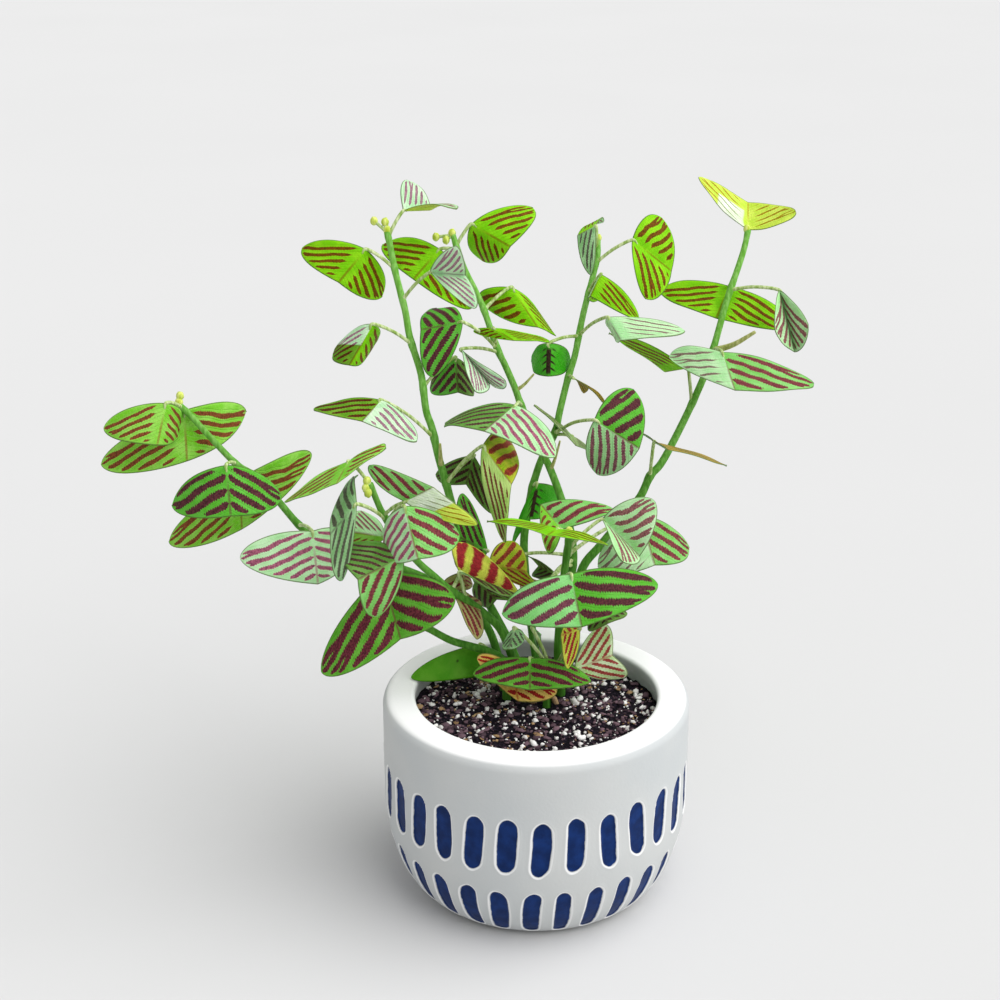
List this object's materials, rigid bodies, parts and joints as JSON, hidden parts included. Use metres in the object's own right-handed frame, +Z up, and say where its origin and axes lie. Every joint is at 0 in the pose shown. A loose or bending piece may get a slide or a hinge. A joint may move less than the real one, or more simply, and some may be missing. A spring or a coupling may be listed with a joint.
{
  "type": "potted houseplant",
  "caption": "Potted houseplant: branched stems with banded butterfly-shaped leaves, rooted in soil in a round-bellied pale ceramic pot with two rows of sunk blue dashes.",
  "frame": {"origin": "centre of the pot's flat foot, on the surface that it stands on", "axes": "+Z up along the pot's axis, -Y towards the plant's front, +X to the right of someone facing the front"},
  "size_m": [0.2462, 0.1621, 0.2317],
  "materials": {
    "pot_ceramic": "matte off-white glaze, with the sunk dashes glazed cobalt blue",
    "soil": "damp dark potting mix with white perlite grains and brown bark chips",
    "foliage": "satin living leaf, lime to dark green with maroon bands, on smooth green stems"
  },
  "bodies": {
    "root": {"pot": "pot_ceramic", "soil": "soil", "stem_left_tall": "foliage", "stem_centre_left": "foliage", "stem_centre_right": "foliage", "stem_right_tall": "foliage", "stem_left_low": "foliage", "stem_left_middle": "foliage", "stem_left_basal": "foliage", "stem_front_short": "foliage", "stem_basal": "foliage"}
  },
  "joints": []
}
